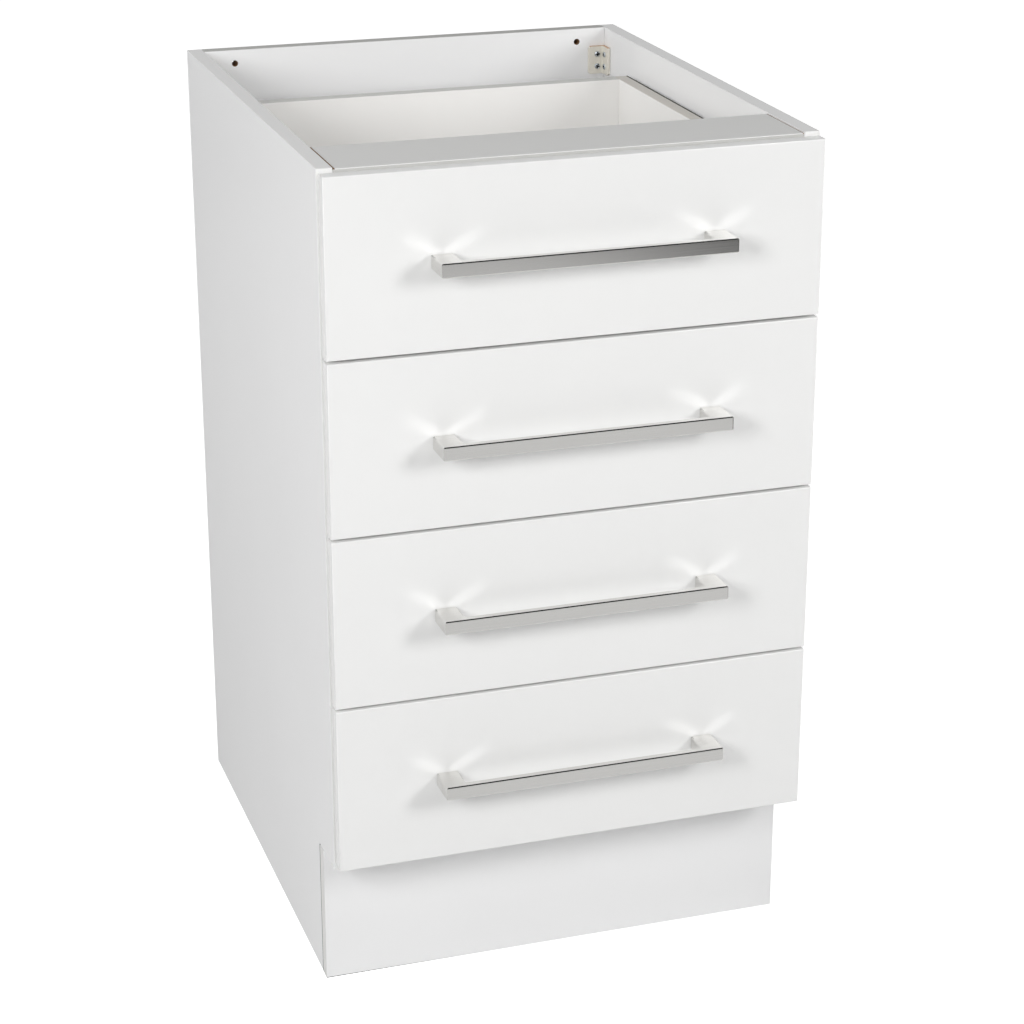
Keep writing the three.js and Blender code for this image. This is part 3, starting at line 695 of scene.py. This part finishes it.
def screw_mesh(name, diameter, height):
    """A pan-head screw with a cross recess, standing on the origin; its thread is cut short."""
    radius = diameter / 2
    shank = radius * SHANK_SHARE
    shell = bmesh.new()
    profile = [(0, -SHANK_LENGTH), (shank, -SHANK_LENGTH), (shank, 0)]
    profile += [(radius * out, height * up) for out, up in PAN_HEAD]
    corners = [shell.verts.new((x, 0, z)) for x, z in profile]
    edges = [shell.edges.new(pair) for pair in zip(corners, corners[1:])]
    bmesh.ops.spin(
        shell, geom=corners + edges, cent=(0, 0, 0), axis=(0, 0, 1), angle=math.tau,
        steps=SCREW_STEPS, use_merge=True)
    bmesh.ops.remove_doubles(shell, verts=shell.verts, dist=MERGE_DISTANCE)
    bmesh.ops.recalc_face_normals(shell, faces=shell.faces)
    head = scratch_object(name, shell, ZINC)
    depth = height * RECESS_DEPTH_SHARE
    cross = bmesh.new()
    for quarter in range(2):
        arm = bmesh.ops.create_cube(cross, size=1.0)["verts"]
        size = (diameter * RECESS_REACH_SHARE * 2, diameter * RECESS_WIDTH_SHARE, 2 * depth)
        bmesh.ops.scale(cross, vec=size, verts=arm)
        bmesh.ops.translate(cross, vec=(0, 0, height), verts=arm)
        turn = Matrix.Rotation(quarter * math.pi / 2, 3, "Z")
        bmesh.ops.rotate(cross, cent=(0, 0, 0), matrix=turn, verts=arm)
    # The recess faces take the painted recess shade
    cutter = scratch_object(f"{name}_recess", cross, RECESS_SHADE)
    recess = head.modifiers.new("recess", "BOOLEAN")
    recess.operation = "DIFFERENCE"
    recess.solver = "EXACT"
    recess.use_self = True
    recess.material_mode = "TRANSFER"
    recess.object = cutter
    bpy.context.view_layer.update()
    evaluated = head.evaluated_get(bpy.context.evaluated_depsgraph_get())
    finished = bpy.data.meshes.new_from_object(evaluated)
    for scratch in (head, cutter):
        bpy.data.objects.remove(scratch)
    return finished


def scratch_object(name, shell, material):
    """An object that only shapes another piece and is removed again."""
    mesh = bpy.data.meshes.new(name)
    shell.to_mesh(mesh)
    shell.free()
    mesh.materials.append(material)
    scratch = bpy.data.objects.new(name, mesh)
    bpy.context.collection.objects.link(scratch)
    return scratch


def add_screws(name, screw, body, slot, places):
    """Copies of a screw in one piece; a place is a matrix, and each is turned a little further."""
    shell = bmesh.new()
    for index, place in enumerate(places):
        first = len(shell.verts)
        shell.from_mesh(screw)
        shell.verts.ensure_lookup_table()
        turned = place @ Matrix.Rotation(index * SCREW_TURN, 4, "Z")
        bmesh.ops.transform(shell, matrix=turned, verts=shell.verts[first:])
    smooth_except_corners(shell)
    place_piece(name, shell, body, slot, [ZINC, RECESS_SHADE])


def add_handle(drawer):
    """A flat bar with a post at each end, and its two screws inside the drawer."""
    node = f"{drawer}_handle"
    low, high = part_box(node)
    front_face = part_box(f"{drawer}_front")[0].y
    half = (high.x - low.x) / 2
    inner = half - POST_WIDTH
    bar_back = low.y + BAR_DEPTH
    shell = bmesh.new()
    middle_z = (low.z + high.z) / 2
    bmesh.ops.create_cube(shell, size=1.0)
    bmesh.ops.scale(shell, vec=(2 * half, BAR_DEPTH, high.z - low.z), verts=shell.verts)
    bmesh.ops.translate(shell, vec=(0, low.y + BAR_DEPTH / 2, middle_z), verts=shell.verts)
    for side in (-1, 1):
        cut_across(shell, (side * inner, 0, 0), (1, 0, 0))
    ends = [
        f for f in shell.faces if f.normal.y > STRAIGHT and abs(f.calc_center_median().x) > inner]
    for face in ends:
        post = bmesh.ops.extrude_discrete_faces(shell, faces=[face])["faces"][0]
        bmesh.ops.translate(shell, vec=(0, front_face - bar_back, 0), verts=post.verts)
    round_uprights(shell, inner, bar_back, HANDLE_INNER_RADIUS)
    round_uprights(shell, half, low.y, HANDLE_CORNER_RADIUS)
    bmesh.ops.dissolve_limit(shell, angle_limit=FLAT_ANGLE, verts=shell.verts, edges=shell.edges)
    round_edges(shell, HANDLE_CHAMFER, 1)
    smooth_except_corners(shell, HANDLE_CREASE)
    handle = place_piece(f"{drawer}_bar_handle", shell, drawer, SLOT_OF[node], [NICKEL], node)
    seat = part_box(f"{drawer}_left_side")[0].y + SEAT_GAP / 2
    facing_back = Matrix.Rotation(-math.pi / 2, 4, "X")
    places = [
        Matrix.Translation((side * (half - POST_WIDTH / 2), seat, middle_z)) @ facing_back
        for side in (-1, 1)]
    add_screws(f"{drawer}_handle_screws", HANDLE_SCREW, drawer, SCREW_SLOT, places)
    return handle


def round_uprights(shell, x, y, radius):
    """Rounds the handle's upright edges at a distance x from its middle and at y."""
    edges = [e for e in shell.edges if (
        abs(e.verts[0].co.z - e.verts[1].co.z) > NEAR
        and all(abs(abs(v.co.x) - x) < NEAR and abs(v.co.y - y) < NEAR for v in e.verts))]
    bevel_edges(shell, edges, radius, CORNER_SEGMENTS)


def add_bracket(node, wall_y, turns):
    """An angle bracket with two legs and its four screws, turned by quarters into its corner."""
    low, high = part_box(node)
    side = math.copysign(INNER_HALF - SEAT_GAP, low.x)
    height = high.z - low.z
    turned = Matrix.Rotation(turns * math.pi / 2, 4, "Z")
    corner = Matrix.Translation((side, wall_y, low.z)) @ turned
    leg, thickness = BRACKET_LEG, BRACKET_THICKNESS
    plan = [(0, 0), (leg, 0), (leg, thickness), (thickness, thickness), (thickness, leg), (0, leg)]
    shell = bmesh.new()
    floor = shell.faces.new([shell.verts.new((x, y, 0)) for x, y in plan])
    walls = bmesh.ops.extrude_face_region(shell, geom=[floor])["geom"]
    top = [part for part in walls if isinstance(part, bmesh.types.BMVert)]
    bmesh.ops.translate(shell, vec=(0, 0, height), verts=top)
    bmesh.ops.recalc_face_normals(shell, faces=shell.faces)
    tips = [e for e in shell.edges if (
        e.calc_length() < thickness + NEAR
        and all(max(v.co.x, v.co.y) > leg - NEAR for v in e.verts))]
    bevel_edges(shell, tips, BRACKET_CORNER_RADIUS, CORNER_SEGMENTS)
    fillet = [e for e in shell.edges if (
        e.calc_length() > height / 2
        and all(abs(v.co.x - thickness) + abs(v.co.y - thickness) < NEAR for v in e.verts))]
    bevel_edges(shell, fillet, BRACKET_FILLET_RADIUS, FILLET_SEGMENTS)
    round_edges(shell, BRACKET_EDGE_RADIUS, BOARD_SEGMENTS)
    bmesh.ops.transform(shell, matrix=corner, verts=shell.verts)
    smooth_except_corners(shell)
    # Painted shade: the top faces take the darker tan
    paint_faces(shell, 1, lambda face: (
        face.normal.z > 1 - STRAIGHT
        and face.calc_center_median().z > high.z - 2 * BRACKET_EDGE_RADIUS))
    place_piece(f"{node}_moulding", shell, BODY_OF[node], SLOT_OF[node], [IVORY, BRACKET_TOP_SHADE], node)
    places = []
    for drop in BRACKET_SCREW_DROPS:
        along_x = Matrix.Translation((BRACKET_SCREW_REACH, thickness, height - drop))
        along_y = Matrix.Translation((thickness, BRACKET_SCREW_REACH, height - drop))
        places.append(corner @ along_x @ Matrix.Rotation(-math.pi / 2, 4, "X"))
        places.append(corner @ along_y @ Matrix.Rotation(math.pi / 2, 4, "Y"))
    add_screws(f"{node}_screws", BRACKET_SCREW, BODY_OF[node], SCREW_SLOT, places)


INNER_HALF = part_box("right_side_panel")[0].x
HANDLE_SCREW = screw_mesh("handle_screw", HANDLE_SCREW_HEAD, HANDLE_SCREW_HEIGHT)
BRACKET_SCREW = screw_mesh("bracket_screw", BRACKET_SCREW_HEAD, BRACKET_SCREW_HEIGHT)

for name, slot in SLOT_OF.items():
    if slot == "front_board":
        add_front(name)
    elif name == "back_panel":
        add_back_panel()
    elif name == "front_top_rail":
        add_front_rail()
    elif name == "kickboard":
        add_kickboard()
    elif slot == "carcass_board":
        add_banded_board(name)
    elif name.endswith("_back"):
        add_box_back(name)
    elif name in BOX_SIDES:
        add_box_side(name)
    elif name.endswith("cabinet_rail"):
        add_cabinet_rail(name)
    elif slot == "runner_steel" and not name.endswith("mid_rail"):
        add_drawer_rail(name)
    elif slot in BOARD_FINISH:
        add_board(name)

HANDLES = [add_handle(drawer) for drawer in DRAWERS]

panel_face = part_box("back_panel")[0].y - SEAT_GAP
kick_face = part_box("kickboard")[1].y + SEAT_GAP
add_bracket("left_corner_bracket", panel_face, -1)
add_bracket("right_corner_bracket", panel_face, 2)
add_bracket("left_kick_bracket", kick_face, 0)
add_bracket("right_kick_bracket", kick_face, 1)


# ---------- Studio ----------

def polished_rays(tree, path):
    """One for the rays with which metal or glass looks around, and zero for others."""
    return add_node(tree, "ShaderNodeMath", {
        0: path.outputs["Is Glossy Ray"], 1: path.outputs["Is Transmission Ray"]},
        operation="MAXIMUM")


def white_floor():
    """A white paper floor that takes the object's soft shadow.

    The camera sees it white, and metal sees it grey, with a dark part of the room beyond.
    """
    material = bpy.data.materials.new("white_paper_floor")
    material.use_nodes = True
    tree = material.node_tree
    tree.nodes.clear()
    path = add_node(tree, "ShaderNodeLightPath")
    glow = add_node(tree, "ShaderNodeMath", {
        0: path.outputs["Is Camera Ray"], 1: PAPER_GLOW}, operation="MULTIPLY")
    emission = add_node(tree, "ShaderNodeEmission", {"Strength": glow.outputs[0]})
    paper = add_node(tree, "ShaderNodeBsdfDiffuse", {"Color": linear("#EDEDED")})
    lit = add_node(tree, "ShaderNodeAddShader", {0: emission.outputs[0], 1: paper.outputs[0]})
    place = add_node(tree, "ShaderNodeTexCoord")
    distance = add_node(tree, "ShaderNodeVectorMath", {
        0: place.outputs["Object"]}, operation="LENGTH")
    share = add_node(tree, "ShaderNodeMath", {
        0: distance.outputs["Value"], 1: ROOM_END}, operation="DIVIDE")
    rings = add_node(tree, "ShaderNodeValToRGB", {"Fac": share.outputs[0]})
    for index, (metres, level) in enumerate(FLOOR_IN_METAL):
        stops = rings.color_ramp.elements
        stop = stops[index] if index < 2 else stops.new(metres / ROOM_END)
        stop.position = metres / ROOM_END
        stop.color = (level, level, level, 1)
    across = add_node(tree, "ShaderNodeSeparateXYZ", {"Vector": place.outputs["Object"]})
    shade = add_node(tree, "ShaderNodeMapRange", {
        "Value": across.outputs["X"], "From Min": FLOOR_SHADE_FROM, "From Max": FLOOR_SHADE_TO,
        "To Min": 1.0, "To Max": FLOOR_SHADE_SHARE})
    mirrored = add_node(tree, "ShaderNodeEmission", {
        "Color": rings.outputs["Color"], "Strength": shade.outputs[0]})
    polished = polished_rays(tree, path)
    surface = add_node(tree, "ShaderNodeMixShader", {
        0: polished.outputs[0], 1: lit.outputs[0], 2: mirrored.outputs[0]})
    add_node(tree, "ShaderNodeOutputMaterial", {"Surface": surface.outputs[0]})
    shell = bmesh.new()
    bmesh.ops.create_grid(shell, x_segments=1, y_segments=1, size=FLOOR_SIZE / 2)
    bmesh.ops.translate(shell, vec=(0, 0, cad_low.z - FLOOR_DROP), verts=shell.verts)
    mesh = bpy.data.meshes.new("studio_floor")
    shell.to_mesh(mesh)
    shell.free()
    mesh.materials.append(material)
    floor = bpy.data.objects.new("studio_floor", mesh)
    bpy.context.collection.objects.link(floor)


def white_world():
    """White to the camera, white low down and dark overhead in metal, and an even fill elsewhere."""
    world = bpy.data.worlds.new("white_studio")
    bpy.context.scene.world = world
    world.use_nodes = True
    tree = world.node_tree
    tree.nodes.clear()
    path = add_node(tree, "ShaderNodeLightPath")
    place = add_node(tree, "ShaderNodeTexCoord")
    height = add_node(tree, "ShaderNodeSeparateXYZ", {"Vector": place.outputs["Generated"]})
    fill, mirrored = [
        add_node(tree, "ShaderNodeMapRange", {
            "Value": height.outputs["Z"], "From Min": low[0], "From Max": high[0],
            "To Min": low[1], "To Max": high[1]})
        for low, high in ((FILL_LOW, FILL_HIGH), (HORIZON_IN_METAL, CEILING_IN_METAL))]
    polished = polished_rays(tree, path)
    unseen = add_node(tree, "ShaderNodeMix", {
        0: polished.outputs[0], 2: fill.outputs[0], 3: mirrored.outputs[0]})
    strength = add_node(tree, "ShaderNodeMix", {
        0: path.outputs["Is Camera Ray"], 2: unseen.outputs[0], 3: 1.0})
    background = add_node(tree, "ShaderNodeBackground", {
        "Color": (1, 1, 1, 1), "Strength": strength.outputs[0]})
    add_node(tree, "ShaderNodeOutputWorld", {"Surface": background.outputs[0]})


def direction(azimuth, elevation):
    """The way from the cabinet to an azimuth, with 0 at the front, and an elevation, in degrees."""
    azimuth, elevation = math.radians(azimuth), math.radians(elevation)
    level = math.cos(elevation)
    return Vector((math.sin(azimuth) * level, -math.cos(azimuth) * level, math.sin(elevation)))


def area_lamp(name, place, back, size, energy):
    """A rectangular lamp that shines away from back and isn't seen by the camera."""
    data = bpy.data.lights.new(name, "AREA")
    data.shape = "RECTANGLE"
    data.size, data.size_y = size
    data.energy = energy
    lamp = bpy.data.objects.new(name, data)
    bpy.context.collection.objects.link(lamp)
    lamp.location = place
    lamp.rotation_euler = back.to_track_quat("Z", "Y").to_euler()
    lamp.visible_camera = False
    return lamp


def soft_box(name, azimuth, elevation, distance, size, level):
    """A soft box aimed at the cabinet; level is the brightness it gives a facing white surface."""
    towards = direction(azimuth, elevation)
    place = (cad_low + cad_high) / 2 + towards * distance
    area_lamp(name, place, towards, size, level * math.pi ** 2 * distance ** 2)


def fill_opening():
    """A weak lamp in the open top, facing down.

    It stands for the light that goes to and fro between the white boards more often than Cycles
    follows it.
    """
    width = 2 * INNER_HALF
    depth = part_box("back_panel")[0].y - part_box("front_top_rail")[1].y
    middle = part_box("back_panel")[0].y - depth / 2
    energy = OPENING_FILL * math.pi * width * depth
    place = (0, middle, cad_high.z - BOARD_EDGE_RADIUS)
    lamp = area_lamp("opening_fill", place, Vector((0, 0, 1)), (width, depth), energy)
    lamp.visible_glossy = False


def add_glints(handle, drawer):
    """Light that a handle's polished posts throw up onto the front, a streak for each soft box.

    Cycles blurs such reflected light away, so small lamps stand for it. Each lies along a streak
    and leans away from the front, so the streak fades outwards.
    """
    low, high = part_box(f"{drawer}_handle")
    front_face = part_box(f"{drawer}_front")[0].y
    post = (high.x - low.x) / 2 - POST_WIDTH / 2
    for side, post_name in ((-1, "left"), (1, "right")):
        for index, (start, sideways, up, level) in enumerate(GLINTS):
            reach = Vector((-side * sideways, 0, up))
            outward = reach.normalized()
            along = outward * math.cos(GLINT_TILT) - Vector((0, math.sin(GLINT_TILT), 0))
            thrown = outward * math.sin(GLINT_TILT) + Vector((0, math.cos(GLINT_TILT), 0))
            near_end = Vector((side * (post - start), front_face - GLINT_CLEARANCE, high.z))
            size = (reach.length, GLINT_WIDTH)
            energy = level * math.pi * size[0] * size[1]
            name = f"{drawer}_{post_name}_post_glint_{index + 1}"
            glint = area_lamp(name, near_end + along * reach.length / 2, -thrown, size, energy)
            axes = Matrix((along, along.cross(thrown), -thrown)).transposed()
            glint.rotation_euler = axes.to_euler()
            glint.data.shape = "ELLIPSE"
            glint.visible_glossy = False
            glint.parent = handle


def add_camera():
    """A camera at the photograph's viewing angle."""
    data = bpy.data.cameras.new("photo_view")
    data.lens = CAMERA_LENS
    camera = bpy.data.objects.new("photo_view", data)
    bpy.context.collection.objects.link(camera)
    camera.location = CAMERA_PLACE
    camera.rotation_euler = (math.pi / 2 - CAMERA_PITCH, 0, -CAMERA_YAW)
    bpy.context.scene.camera = camera


white_floor()
white_world()
for name, setting in LAMPS.items():
    soft_box(name, *setting)
fill_opening()
for handle, drawer in zip(HANDLES, DRAWERS):
    add_glints(handle, drawer)
add_camera()
bpy.context.scene.view_settings.view_transform = "Standard"
